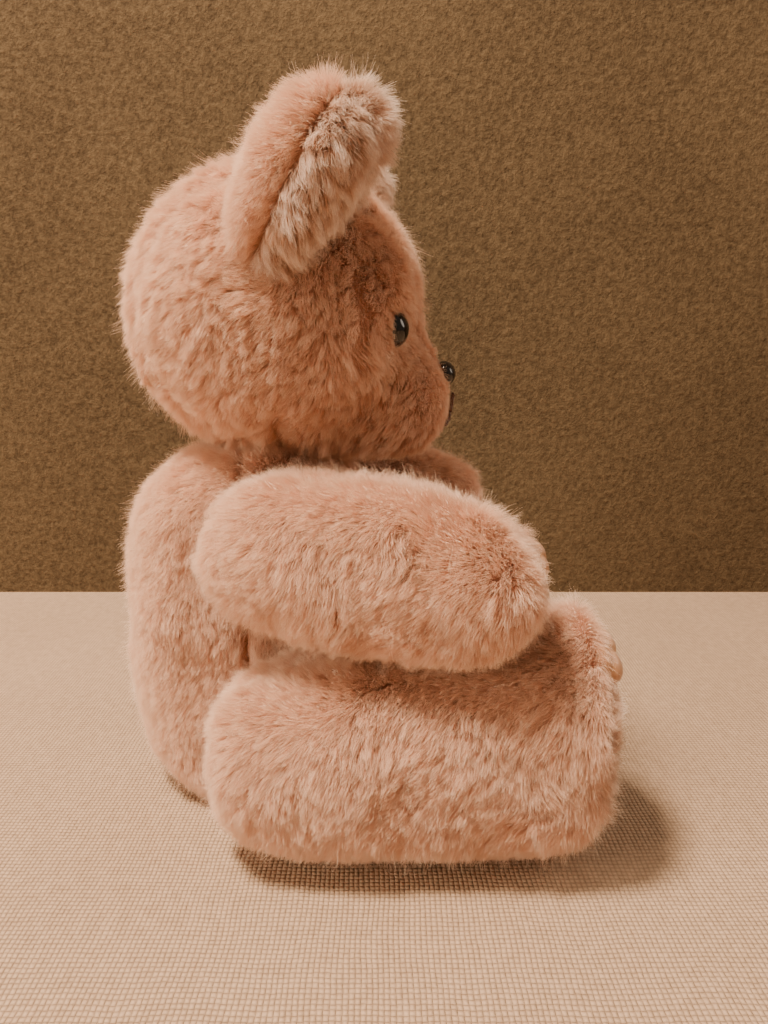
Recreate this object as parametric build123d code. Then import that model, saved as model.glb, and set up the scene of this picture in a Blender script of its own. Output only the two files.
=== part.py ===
from build123d import *
import os

# Jointed plush bunny, sitting.  Millimetres, +Z up, the toy looks along -Y, its right side is at -X.
# The casings below are the cut and sewn cloth without its pile; the pile adds about 4 mm all round.

# --- cloth and hardware sizes ---
CLOTH = 1.6            # backing cloth and pile roots
LOOSE = 0.2            # play between cloth and stuffing
GAP = 0.3              # air between two bodies that turn against each other
STEM_R = 2.5           # stem of a joint disc
BORE_R = 2.58          # running hole for that stem
DISC_T = 2.2           # thickness of a joint disc
WASHER_R = 5.5         # lock washer
WASHER_T = 1.6
STEM_TAIL = 1.0        # stem showing past its lock washer

# --- body ---
FLANK_X = 25.0         # flat flank that the limbs turn against
NECK_Z = 105.0         # flat top that the head turns on
NECK_Y = 26.5
NECK_DISC_R = 8.2
BODY_SIDE_SEAM_Y = 31.0
BODY_SECTIONS = [      # height, centre y, half depth, half width
    (0.0, 31.0, 19.0, 20.0),
    (6.0, 31.0, 29.0, 26.0),
    (20.0, 31.0, 35.0, 31.0),
    (45.0, 31.0, 36.5, 32.0),
    (68.0, 31.5, 35.0, 31.5),
    (86.0, 31.5, 32.0, 30.0),
    (98.0, 30.0, 25.0, 23.0),
    (NECK_Z, NECK_Y, 14.0, 14.0),
]
TAIL_CENTRE = (0.0, 65.0, 28.0)
TAIL_RADII = (6.5, 3.5, 6.0)

# --- head ---
SKULL_CENTRE = (0.0, 22.5, 142.0)
SKULL_RADII = (35.0, 39.5, 39.0)
MUZZLE_CENTRE = (0.0, -9.0, 119.5)
MUZZLE_RADII = (18.5, 17.5, 17.0)
GUSSET_BACK_W = 19.0   # half width of the gusset over the crown and down the back
GUSSET_NOSE_W = 4.5    # half width where it ends at the nose
GUSSET_CROWN_Y = 5.0
GUSSET_NOSE_Z = 124.0

# --- ears ---
EAR_CENTRE = (30.0, 11.0, 170.8)
EAR_RADII = (16.0, 11.0, 22.5)
EAR_LEAN = 32.0        # forward
EAR_SPLAY = 15.0       # outward

# --- face ---
EYE_X = 18.0
EYE_Z = 138.0
EYE_FORWARD = 0.9      # how much the eye is drawn in to look forward
EYE_R = 4.75
EYE_DOME = 2.8
EYE_STEM_R = 1.6
EYE_STEM_L = 8.0
NOSE_Z = 126.0
NOSE_W = 9.5
NOSE_H = 7.2
NOSE_D = 3.2
THREAD_R = 0.6

# --- arms ---
SHOULDER = (23.5, 81.0)        # y, z of the shoulder joint
SHOULDER_DISC_R = 8.5
ARM_AXIS_X = 35.5              # arm's centre line at the shoulder
ARM_SPREAD = 0.27              # outward run of the centre line per mm forward
LEFT_ARM_DROP = 4.0            # degrees the left arm hangs lower than the right
ARM_SECTIONS = [               # y, centre height, half height, half width
    (35.5, 81.5, 8.0, 7.0),
    (32.0, 81.5, 13.0, 10.0),
    (25.0, 82.0, 16.5, 12.6),
    (14.5, 82.0, 18.5, 13.5),
    (-2.5, 81.5, 20.0, 13.7),
    (-16.0, 80.5, 19.5, 13.5),
    (-28.5, 79.0, 17.0, 12.8),
    (-36.5, 78.0, 13.0, 10.5),
    (-41.0, 77.5, 7.0, 6.0),
]

# --- legs ---
HIP = (20.5, 25.0)             # y, z of the hip joint
HIP_DISC_R = 9.5
LEG_AXIS_X = 40.0
LEG_SECTIONS = [               # y, centre height, half height, half width
    (33.5, 27.0, 12.0, 11.0),
    (30.0, 27.0, 17.5, 15.0),
    (22.0, 27.0, 22.5, 17.3),
    (7.5, 27.0, 26.5, 18.5),
    (-17.5, 28.0, 28.0, 18.5),
    (-41.0, 31.5, 30.8, 19.2),
    (-53.0, 34.5, 31.0, 19.4),
    (-59.5, 36.5, 27.5, 17.8),
]
SOLE_RISE = 6.5        # how far the padded sole swells forward
HEEL_PAD_Z = 41.0
HEEL_PAD_RADII = (11.5, 3.4, 11.5)
TOE_PAD_RADII = (3.9, 4.4, 4.9)
TOE_PAD_SPREAD = 8.8
TOE_PAD_Z = 59.5
TOE_PAD_DROP = 2.0             # how far the outer toes sit below the middle one

WIDE = 400.0


def ellipsoid(centre, radii, shrink=0.0):
    """An egg-shaped solid of three half axes."""
    sizes = tuple(r - shrink for r in radii)
    return Pos(*centre) * scale(Sphere(1), by=sizes)


def box(x0, x1, y0, y1, z0, z1):
    """A box between two corners."""
    middle = ((x0 + x1) / 2, (y0 + y1) / 2, (z0 + z1) / 2)
    return Pos(*middle) * Box(abs(x1 - x0), abs(y1 - y0), abs(z1 - z0))


def outside(x):
    """Everything further out than x on the left side of the toy."""
    return box(x, WIDE, -WIDE, WIDE, -WIDE, WIDE)


def above(z):
    """Everything higher than z."""
    return box(-WIDE, WIDE, -WIDE, WIDE, z, WIDE)


def lengthwise(y, x, z, half_height, half_width):
    """An oval across the toy's length, for lofting a limb."""
    plane = Plane(origin=(x, y, z), x_dir=(1, 0, 0), z_dir=(0, -1, 0))
    return plane * Ellipse(half_width, half_height)


def drum(centre, radius, x0, x1):
    """A round bar along X at centre (y, z), between x0 and x1."""
    y, z = centre
    middle = Pos((x0 + x1) / 2, y, z) * Rot(0, 90, 0)
    return middle * Cylinder(radius, abs(x1 - x0))


def post(radius, z0, z1):
    """A round bar along Z on the neck's axis."""
    return Pos(0, NECK_Y, (z0 + z1) / 2) * Cylinder(radius, abs(z1 - z0))


def body_form(shrink):
    """The body's pear shape with its flat flanks, seat and neck."""
    ovals = []
    for z, y, depth, width in BODY_SECTIONS:
        level = min(max(z, shrink), NECK_Z - shrink)
        ovals.append(Pos(0, y, level) * Ellipse(width - shrink, depth - shrink))
    flank = FLANK_X - shrink
    return loft(ovals) & box(-flank, flank, -WIDE, WIDE, -WIDE, WIDE)


def head_form(shrink):
    """Skull and muzzle, flat where they meet the neck."""
    form = ellipsoid(SKULL_CENTRE, SKULL_RADII, shrink)
    form = form + ellipsoid(MUZZLE_CENTRE, MUZZLE_RADII, shrink)
    return form & above(NECK_Z + GAP + shrink)


def arm_form(shrink):
    """The left arm, spreading outward from its flat shoulder."""
    ovals = []
    last = len(ARM_SECTIONS) - 1
    for i, (y, z, height, width) in enumerate(ARM_SECTIONS):
        inset = shrink if i == 0 else (-shrink if i == last else 0.0)
        x = ARM_AXIS_X + ARM_SPREAD * (SHOULDER[0] - y)
        ovals.append(lengthwise(y - inset, x, z, height - shrink, width - shrink))
    return loft(ovals) & outside(FLANK_X + GAP + shrink)


def leg_form(shrink):
    """The left leg, lying on the floor with its foot turned up."""
    ovals = []
    last = len(LEG_SECTIONS) - 1
    for i, (y, z, height, width) in enumerate(LEG_SECTIONS):
        inset = shrink if i == 0 else (-shrink if i == last else 0.0)
        ovals.append(lengthwise(y - inset, LEG_AXIS_X, z, height - shrink, width - shrink))
    return loft(ovals) & outside(FLANK_X + GAP + shrink) & above(shrink)


def joint_set(centre, disc_r):
    """Stem disc, plain disc and lock washer of the left joint at centre (y, z)."""
    limb_face = FLANK_X + GAP + CLOTH
    body_face = FLANK_X - CLOTH
    washer_face = body_face - DISC_T - 0.1
    stem_end = washer_face - WASHER_T - STEM_TAIL
    stem_disc = drum(centre, disc_r, limb_face, limb_face + DISC_T)
    stem_disc = stem_disc + drum(centre, STEM_R, stem_end, limb_face + DISC_T / 2)
    plain_disc = drum(centre, disc_r, body_face - DISC_T, body_face)
    plain_disc = plain_disc - drum(centre, BORE_R, 0, WIDE)
    washer = drum(centre, WASHER_R, washer_face - WASHER_T, washer_face)
    washer = washer - drum(centre, STEM_R, 0, WIDE)
    return stem_disc, plain_disc, washer


def joint_pocket(centre, disc_r):
    """Room in the stuffing around one joint, on both sides of the flank."""
    inner = FLANK_X - CLOTH - DISC_T - WASHER_T - STEM_TAIL - 0.6
    outer = FLANK_X + GAP + CLOTH + DISC_T + 0.3
    return drum(centre, disc_r + 0.4, inner, outer)


def right_of(shape):
    """The same piece on the toy's right side."""
    return mirror(shape, about=Plane.YZ)


parts = {}

# --- body: four panels, stuffing, tail ---
body_outer = body_form(0.0)
body_shell = body_outer - body_form(CLOTH)
for centre in (SHOULDER, HIP):
    body_shell = body_shell - drum(centre, BORE_R, -WIDE, WIDE)
body_shell = body_shell - post(BORE_R, 90, WIDE)
left_half = outside(0.0)
front_half = box(-WIDE, WIDE, -WIDE, BODY_SIDE_SEAM_Y, -WIDE, WIDE)
body_left = body_shell & left_half
parts["body_front_left"] = body_left & front_half
parts["body_back_left"] = body_left - front_half
parts["body_front_right"] = right_of(parts["body_front_left"])
parts["body_back_right"] = right_of(parts["body_back_left"])

body_stuffing = body_form(CLOTH + LOOSE)
neck_pocket_floor = NECK_Z - CLOTH - DISC_T - WASHER_T - STEM_TAIL - 0.6
body_stuffing = body_stuffing - post(NECK_DISC_R + 0.4, neck_pocket_floor, WIDE)
for centre, radius in ((SHOULDER, SHOULDER_DISC_R), (HIP, HIP_DISC_R)):
    pocket = joint_pocket(centre, radius)
    body_stuffing = body_stuffing - pocket - right_of(pocket)
parts["body_stuffing"] = body_stuffing
parts["tail"] = ellipsoid(TAIL_CENTRE, TAIL_RADII) - body_form(-0.05)

# --- neck joint ---
head_floor = NECK_Z + GAP + CLOTH
plain_top = NECK_Z - CLOTH
washer_top = plain_top - DISC_T - 0.1
stem_foot = washer_top - WASHER_T - STEM_TAIL
neck_disc = post(NECK_DISC_R, head_floor, head_floor + DISC_T)
parts["neck_stem_disc"] = neck_disc + post(STEM_R, stem_foot, head_floor + 1)
parts["neck_plain_disc"] = post(NECK_DISC_R, plain_top - DISC_T, plain_top) - post(BORE_R, 0, WIDE)
neck_washer = post(WASHER_R, washer_top - WASHER_T, washer_top)
parts["neck_washer"] = neck_washer - post(STEM_R, 0, WIDE)

# --- head: gusset, two sides, stuffing ---
head_outer = head_form(0.0)
head_shell = head_outer - head_form(CLOTH) - post(BORE_R, 0, 120)
gusset_plan = Polyline(
    (-GUSSET_BACK_W, 90),
    (-GUSSET_BACK_W, GUSSET_CROWN_Y),
    (-GUSSET_NOSE_W, -24),
    (-GUSSET_NOSE_W, -60),
    (GUSSET_NOSE_W, -60),
    (GUSSET_NOSE_W, -24),
    (GUSSET_BACK_W, GUSSET_CROWN_Y),
    (GUSSET_BACK_W, 90),
    close=True,
)
gusset_zone = Pos(0, 0, 100) * extrude(make_face(gusset_plan), 100)
gusset_zone = gusset_zone - box(-WIDE, WIDE, -WIDE, NECK_Y, 0, GUSSET_NOSE_Z)

# --- eyes: a dome on a stem, locked by a washer inside ---
skull_x, skull_y, skull_z = SKULL_RADII
across = (EYE_X / skull_x) ** 2 + ((EYE_Z - SKULL_CENTRE[2]) / skull_z) ** 2
eye_y = SKULL_CENTRE[1] - skull_y * (1 - across) ** 0.5
eye_seat = Vector(EYE_X, eye_y, EYE_Z)
eye_normal = Vector(
    EYE_X / skull_x**2,
    (eye_y - SKULL_CENTRE[1]) / skull_y**2,
    (EYE_Z - SKULL_CENTRE[2]) / skull_z**2,
).normalized()
eye_normal = (eye_normal + Vector(0, -EYE_FORWARD, 0)).normalized()
eye_place = Plane(origin=eye_seat + eye_normal * 0.1, z_dir=eye_normal)
ball_r = (EYE_R**2 + EYE_DOME**2) / (2 * EYE_DOME)
dome = Pos(0, 0, EYE_DOME - ball_r) * Sphere(ball_r)
dome = dome & (Pos(0, 0, 10) * Box(40, 40, 20))
eye_stem = Pos(0, 0, -EYE_STEM_L / 2) * Cylinder(EYE_STEM_R, EYE_STEM_L + 0.2)
eye_left = ((eye_place * dome) - head_form(-0.05)) + eye_place * eye_stem
eye_bore = eye_place * (Pos(0, 0, -6) * Cylinder(EYE_STEM_R + 0.05, 16))
eye_washer = Pos(0, 0, -CLOTH - 3.2) * (Cylinder(4.6, 1.0) - Cylinder(EYE_STEM_R, 4))
eye_washer_left = eye_place * eye_washer
eye_room = eye_place * (Pos(0, 0, -5.5) * Cylinder(5.5, 11))
parts["eye_left"] = eye_left
parts["eye_right"] = right_of(eye_left)
parts["eye_washer_left"] = eye_washer_left
parts["eye_washer_right"] = right_of(eye_washer_left)

# --- nose: a moulded button on a stem, locked by a washer inside ---
rise = (NOSE_Z - MUZZLE_CENTRE[2]) / MUZZLE_RADII[2]
nose_y = MUZZLE_CENTRE[1] - MUZZLE_RADII[1] * (1 - rise**2) ** 0.5
nose_form = scale(Sphere(1), by=(NOSE_W / 2, NOSE_H / 2, NOSE_D))
nose_turn = Plane(origin=(0, nose_y, NOSE_Z), x_dir=(1, 0, 0), z_dir=(0, -1, 0.3))
nose_button = (nose_turn * nose_form) - head_form(-0.05)
nose_stem_bar = nose_turn * (Pos(0, 0, -4) * Cylinder(EYE_STEM_R, 10))
parts["nose"] = nose_button + nose_stem_bar
nose_bore = nose_turn * (Pos(0, 0, -6) * Cylinder(EYE_STEM_R + 0.05, 18))
nose_washer = Pos(0, 0, -CLOTH - 3.2) * (Cylinder(4.6, 1.0) - Cylinder(EYE_STEM_R, 4))
parts["nose_washer"] = nose_turn * nose_washer
nose_room = nose_turn * (Pos(0, 0, -6.5) * Cylinder(5.1, 11))

head_shell = head_shell - eye_bore - right_of(eye_bore) - nose_bore
parts["head_gusset"] = head_shell & gusset_zone
head_side = (head_shell - gusset_zone) & left_half
parts["head_side_left"] = head_side
parts["head_side_right"] = right_of(head_side)
head_stuffing = head_form(CLOTH + LOOSE) - post(NECK_DISC_R + 0.4, 0, head_floor + DISC_T + 0.4)
parts["head_stuffing"] = head_stuffing - eye_room - right_of(eye_room) - nose_room

# --- mouth: three stitches of thick thread, proud of the muzzle ---
def stitch(start, end):
    """One straight stitch with round ends."""
    run = Vector(*end) - Vector(*start)
    middle = (Vector(*start) + Vector(*end)) * 0.5
    bar = Plane(origin=middle, z_dir=run) * Cylinder(THREAD_R, run.length)
    return bar + Pos(*start) * Sphere(THREAD_R) + Pos(*end) * Sphere(THREAD_R)


def on_muzzle(x, z):
    """A point just proud of the muzzle's front at x and height z."""
    u = x / MUZZLE_RADII[0]
    w = (z - MUZZLE_CENTRE[2]) / MUZZLE_RADII[2]
    y = MUZZLE_CENTRE[1] - MUZZLE_RADII[1] * (1 - u * u - w * w) ** 0.5
    return (x, y - 1.6 * THREAD_R, z)


lip_top = on_muzzle(0, 120.5)
lip_fork = on_muzzle(0, 114.5)
lip_end = on_muzzle(4.6, 111.4)
mouth = stitch(lip_top, lip_fork) + stitch(lip_fork, lip_end)
parts["mouth_stitch"] = mouth + right_of(stitch(lip_fork, lip_end))

# --- ears: front panel, back panel, wadding ---
def ear_form(shrink):
    """The left ear, leaning forward and outward."""
    form = scale(Sphere(1), by=tuple(r - shrink for r in EAR_RADII))
    return Pos(*EAR_CENTRE) * Rot(EAR_LEAN, EAR_SPLAY, 0) * form


ear_split = Pos(*EAR_CENTRE) * Rot(EAR_LEAN, EAR_SPLAY, 0) * box(-60, 60, -60, 0, -60, 60)
head_skin = head_form(-0.05)
ear_shell = ear_form(0.0) - ear_form(CLOTH) - head_skin
parts["ear_front_left"] = ear_shell & ear_split
parts["ear_back_left"] = ear_shell - ear_split
parts["ear_wadding_left"] = ear_form(CLOTH + LOOSE) - head_skin
for name in ("ear_front", "ear_back", "ear_wadding"):
    parts[name + "_right"] = right_of(parts[name + "_left"])

# --- arms ---
arm_shell = arm_form(0.0) - arm_form(CLOTH) - drum(SHOULDER, BORE_R, 0, FLANK_X + 4)
arm_rear_x = ARM_AXIS_X - ARM_SPREAD * 60
arm_front_x = ARM_AXIS_X + ARM_SPREAD * 100
arm_plan = Polyline(
    (arm_rear_x, SHOULDER[0] + 60),
    (arm_front_x, SHOULDER[0] - 100),
    (arm_front_x + 90, SHOULDER[0] - 100),
    (arm_front_x + 90, SHOULDER[0] + 60),
    close=True,
)
arm_outer_zone = Pos(0, 0, 20) * extrude(make_face(arm_plan), 120)
stem_disc, plain_disc, washer = joint_set(SHOULDER, SHOULDER_DISC_R)
arm_pieces = {
    "arm_outer": arm_shell & arm_outer_zone,
    "arm_inner": arm_shell - arm_outer_zone,
    "arm_stuffing": arm_form(CLOTH + LOOSE) - joint_pocket(SHOULDER, SHOULDER_DISC_R),
    "shoulder_stem_disc": stem_disc,
    "shoulder_plain_disc": plain_disc,
    "shoulder_washer": washer,
}

# --- legs ---
leg_shell = leg_form(0.0) - leg_form(CLOTH) - drum(HIP, BORE_R, 0, FLANK_X + 4)
leg_outer_zone = outside(LEG_AXIS_X)
stem_disc, plain_disc, washer = joint_set(HIP, HIP_DISC_R)
SOLE_Y, SOLE_Z, SOLE_HALF_H, SOLE_HALF_W = LEG_SECTIONS[-1]
sole_centre = (LEG_AXIS_X, SOLE_Y, SOLE_Z)
in_front = box(-WIDE, WIDE, -WIDE, SOLE_Y, -WIDE, WIDE)


def sole_form(grow):
    """The padded sole, swelling forward from the leg's front edge."""
    return ellipsoid(sole_centre, (SOLE_HALF_W, SOLE_RISE, SOLE_HALF_H), -grow) & in_front


def pad_on_sole(x, z, radii):
    """A small stuffed pad standing on the sole at x and height z."""
    u = (x - LEG_AXIS_X) / SOLE_HALF_W
    w = (z - SOLE_Z) / SOLE_HALF_H
    face = SOLE_Y - SOLE_RISE * max(1 - u * u - w * w, 0.0) ** 0.5
    return (ellipsoid((x, face, z), radii) & in_front) - sole_form(0.05)


toe_pads = Part()
for step in (-1, 0, 1):
    toe_z = TOE_PAD_Z - abs(step) * TOE_PAD_DROP
    toe_pads = toe_pads + pad_on_sole(LEG_AXIS_X + step * TOE_PAD_SPREAD, toe_z, TOE_PAD_RADII)
leg_pieces = {
    "leg_outer": leg_shell & leg_outer_zone,
    "leg_inner": leg_shell - leg_outer_zone,
    "leg_stuffing": leg_form(CLOTH + LOOSE) - joint_pocket(HIP, HIP_DISC_R),
    "leg_sole": sole_form(0.0),
    "leg_toe_pads": toe_pads,
    "leg_heel_pad": pad_on_sole(LEG_AXIS_X, HEEL_PAD_Z, HEEL_PAD_RADII),
    "hip_stem_disc": stem_disc,
    "hip_plain_disc": plain_disc,
    "hip_washer": washer,
}

shoulder_axis = Axis((0, *SHOULDER), (1, 0, 0))
for name, shape in arm_pieces.items():
    dropped = shape if "plain" in name else shape.rotate(shoulder_axis, LEFT_ARM_DROP)
    parts[name + "_left"] = dropped
    parts[name + "_right"] = right_of(shape)
for name, shape in leg_pieces.items():
    parts[name + "_left"] = shape
    parts[name + "_right"] = right_of(shape)

os.makedirs("parts", exist_ok=True)
for name, shape in parts.items():
    export_step(shape, f"parts/{name}.step")
    size = shape.bounding_box().size
    solids = len(shape.solids())
    print(f"{name:26s} {solids} solid  {size.X:6.1f} {size.Y:6.1f} {size.Z:6.1f}  {shape.volume:9.1f} mm3")
whole = Compound(children=[s for p in parts.values() for s in p.solids()]).bounding_box()
print(len(parts), "pieces, from", whole.min, "to", whole.max)
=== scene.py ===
"""Looks of a jointed plush bunny: cloth panels, pile, padded soles, eyes, stage, lights and camera."""
import logging
import math
from dataclasses import dataclass, field, replace
from enum import Enum
from typing import Callable, Sequence

import bpy
import numpy as np
from mathutils import Matrix, Vector


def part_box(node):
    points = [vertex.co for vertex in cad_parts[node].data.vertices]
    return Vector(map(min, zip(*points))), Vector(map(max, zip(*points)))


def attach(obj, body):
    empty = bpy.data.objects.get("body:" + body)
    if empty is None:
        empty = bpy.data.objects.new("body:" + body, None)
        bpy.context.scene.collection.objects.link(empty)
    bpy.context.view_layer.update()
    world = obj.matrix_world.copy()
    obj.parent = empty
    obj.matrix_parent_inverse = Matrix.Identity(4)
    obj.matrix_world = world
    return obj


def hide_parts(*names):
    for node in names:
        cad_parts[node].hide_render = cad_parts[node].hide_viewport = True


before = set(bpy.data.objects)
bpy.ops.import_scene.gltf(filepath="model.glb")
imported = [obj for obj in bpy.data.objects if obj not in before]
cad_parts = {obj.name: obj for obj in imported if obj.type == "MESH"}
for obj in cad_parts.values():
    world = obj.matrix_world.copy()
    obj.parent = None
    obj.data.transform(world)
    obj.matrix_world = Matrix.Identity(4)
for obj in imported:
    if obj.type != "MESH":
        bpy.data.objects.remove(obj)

LOG = logging.getLogger("plush")
MM = 0.001
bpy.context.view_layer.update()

Array = np.ndarray
Field = Callable[[Array], Array]
Faces = tuple[Array, Array, Array]
Grid = tuple[Array, Array, Array]
Socket = bpy.types.NodeSocket
Tree = bpy.types.NodeTree


class Side(Enum):
    """The toy's own left and right, with the sign of X on that side."""

    LEFT = 1
    RIGHT = -1

    @property
    def word(self) -> str:
        """The side's name inside node and body names."""
        return self.name.lower()


class Tone(Enum):
    """The four shades that neighbouring tufts of pile take, from deep to pale."""

    DEEP = (0.690, 0.395, 0.260)
    WARM = (0.755, 0.465, 0.320)
    PEACH = (0.815, 0.535, 0.380)
    PALE = (0.865, 0.610, 0.455)


# ---------------------------------------------------------------------------
# numbers and shapes
# ---------------------------------------------------------------------------

def waves(points: Array, wavelength: float, seed: int, count: int = 9) -> Array:
    """Smooth wandering values near -1 to 1 over space.

    Args:
        points: positions in mm, one per row.
        wavelength: rough size of one swell, in mm.
        seed: fixes the pattern.
        count: how many plane waves are added.

    Returns:
        One value per point.
    """
    rng = np.random.default_rng(seed)
    axes = rng.normal(size=(count, 3))
    axes /= np.linalg.norm(axes, axis=1, keepdims=True)
    pitch = 2 * math.pi / (wavelength * rng.uniform(0.7, 1.5, count))
    phase = rng.uniform(0, 2 * math.pi, count)
    total = np.sin(points @ (axes * pitch[:, None]).T + phase)
    return total.sum(axis=1) / math.sqrt(count)


def unit(vectors: Array) -> Array:
    """The same directions with length one."""
    return vectors / np.maximum(np.linalg.norm(vectors, axis=-1, keepdims=True), 1e-9)


def smooth_path(points: Sequence[Sequence[float]], count: int) -> Array:
    """A smooth path through the points, evenly stepped along its length.

    Args:
        points: rows of any number of columns; the first two or three carry the length.
        count: how many rows to return.

    Returns:
        An array of count rows.
    """
    knots = np.asarray(points, float)
    padded = np.vstack([2 * knots[0] - knots[1], knots, 2 * knots[-1] - knots[-2]])
    rows = []
    for i in range(1, len(padded) - 2):
        a, b, c, d = padded[i - 1:i + 3]
        t = np.linspace(0, 1, 24, endpoint=False)[:, None]
        rows.append(0.5 * (2 * b + (c - a) * t + (2 * a - 5 * b + 4 * c - d) * t**2
                           + (3 * b - a - 3 * c + d) * t**3))
    dense = np.vstack(rows + [knots[-1:]])
    steps = np.r_[0, np.cumsum(np.linalg.norm(np.diff(dense, axis=0), axis=1))]
    wanted = np.linspace(0, steps[-1], count)
    return np.stack([np.interp(wanted, steps, column) for column in dense.T], axis=1)


def globe(u: Array, v: Array) -> Array:
    """Points of a ball of radius one, by angle from its top and turn round it."""
    return np.stack([np.sin(u) * np.cos(v), np.sin(u) * np.sin(v), np.cos(u) * np.ones_like(v)], axis=-1)


def soft_floor(values: Array, limit: float, blend: float) -> Array:
    """Values kept above a limit, with a rounded turn onto it."""
    gap = (values - limit) / blend
    return limit + blend * np.logaddexp(0, gap)


@dataclass
class Skin:
    """One closed sewn surface, as rings of points between two poles, in mm."""

    verts: Array
    quads: Array
    tris: Array

    @classmethod
    def from_rings(cls, rings: Array, first: Array, last: Array) -> "Skin":
        """A surface from rings, closed by a fan at each end.

        Args:
            rings: rows, columns and XYZ.
            first: the pole before the first ring.
            last: the pole after the last ring.

        Returns:
            The skin.
        """
        rows, cols = rings.shape[:2]
        verts = np.vstack([rings.reshape(-1, 3), first, last])
        index = np.arange(rows * cols).reshape(rows, cols)
        nxt = np.roll(index, -1, axis=1)
        quads = np.stack([index[:-1], nxt[:-1], nxt[1:], index[1:]], axis=-1).reshape(-1, 4)
        start = np.stack([np.full(cols, rows * cols), nxt[0], index[0]], axis=-1)
        end = np.stack([np.full(cols, rows * cols + 1), index[-1], nxt[-1]], axis=-1)
        skin = cls(verts, quads, np.vstack([start, end]))
        middle = verts.mean(axis=0)
        if np.einsum("ij,ij->i", skin.normals(), verts - middle).mean() < 0:
            skin.quads = skin.quads[:, ::-1]
            skin.tris = skin.tris[:, ::-1]
        return skin

    @property
    def triangles(self) -> Array:
        """Every face as triangles."""
        return np.vstack([self.quads[:, :3], self.quads[:, [0, 2, 3]], self.tris])

    def normals(self) -> Array:
        """One outward direction per vertex."""
        tri = self.triangles
        a, b, c = (self.verts[tri[:, k]] for k in range(3))
        face = np.cross(b - a, c - a)
        out = np.zeros_like(self.verts)
        for k in range(3):
            np.add.at(out, tri[:, k], face)
        return unit(out)

    def moved(self, amount: Array | float) -> "Skin":
        """The skin pushed outward by an amount in mm, one for all or one per vertex."""
        shift = np.broadcast_to(np.asarray(amount, float), (len(self.verts),))
        return Skin(self.verts + self.normals() * shift[:, None], self.quads, self.tris)

    def mirrored(self) -> "Skin":
        """The same skin on the other side of the toy."""
        flipped = self.verts * np.array([-1, 1, 1])
        return Skin(flipped, self.quads[:, ::-1], self.tris[:, ::-1])

    def scattered(self, per_mm2: float, rng: np.random.Generator) -> tuple[Array, Array]:
        """Random points spread evenly over the surface.

        Args:
            per_mm2: how many to each square millimetre.
            rng: source of chance.

        Returns:
            Points and their outward directions.
        """
        tri = self.triangles
        a, b, c = (self.verts[tri[:, k]] for k in range(3))
        area = np.linalg.norm(np.cross(b - a, c - a), axis=1) / 2
        count = int(area.sum() * per_mm2)
        pick = np.searchsorted(np.cumsum(area) / area.sum(), rng.random(count))
        u, v = rng.random(count), rng.random(count)
        over = u + v > 1
        u[over], v[over] = 1 - u[over], 1 - v[over]
        w = (1 - u - v)[:, None]
        u, v = u[:, None], v[:, None]
        n = self.normals()[tri[pick]]
        points = a[pick] * w + b[pick] * u + c[pick] * v
        return points, unit(n[:, 0] * w + n[:, 1] * u + n[:, 2] * v)

    def mesh(self, name: str, keep: Array | None = None) -> bpy.types.Object:
        """A Blender object of the surface, or of the faces that keep picks.

        Args:
            name: the object's name.
            keep: a flag for each quad, then each triangle of the end fans.

        Returns:
            The linked object, smooth shaded.
        """
        quads, tris = self.quads, self.tris
        if keep is not None:
            quads, tris = quads[keep[:len(quads)]], tris[keep[len(quads):]]
        used, flat = np.unique(np.r_[quads.ravel(), tris.ravel()], return_inverse=True)
        sizes = np.r_[np.full(len(quads), 4), np.full(len(tris), 3)]
        return mesh_object(name, self.verts[used] * MM, flat, sizes)

    def faces(self) -> Faces:
        """Vertices, face corners and face sizes."""
        corners = np.r_[self.quads.ravel(), self.tris.ravel()]
        return self.verts, corners, np.r_[np.full(len(self.quads), 4), np.full(len(self.tris), 3)]

    def face_centres(self) -> Array:
        """The middle of each quad, then of each fan triangle."""
        return np.vstack([self.verts[self.quads].mean(axis=1), self.verts[self.tris].mean(axis=1)])


def mesh_object(name: str, verts: Array, corners: Array, sizes: Array) -> bpy.types.Object:
    """A linked, smooth mesh object from flat arrays.

    Args:
        name: object and mesh name.
        verts: positions in metres.
        corners: vertex number of each face corner, face after face.
        sizes: corner count of each face.

    Returns:
        The object.
    """
    mesh = bpy.data.meshes.new(name)
    mesh.vertices.add(len(verts))
    mesh.vertices.foreach_set("co", np.ascontiguousarray(verts, np.float32).ravel())
    mesh.loops.add(len(corners))
    mesh.loops.foreach_set("vertex_index", np.ascontiguousarray(corners, np.int32))
    mesh.polygons.add(len(sizes))
    starts = np.r_[0, np.cumsum(sizes)[:-1]].astype(np.int32)
    mesh.polygons.foreach_set("loop_start", starts)
    mesh.update(calc_edges=True)
    mesh.validate()
    mesh.polygons.foreach_set("use_smooth", np.ones(len(mesh.polygons), bool))
    obj = bpy.data.objects.new(name, mesh)
    bpy.context.scene.collection.objects.link(obj)
    return obj


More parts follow.
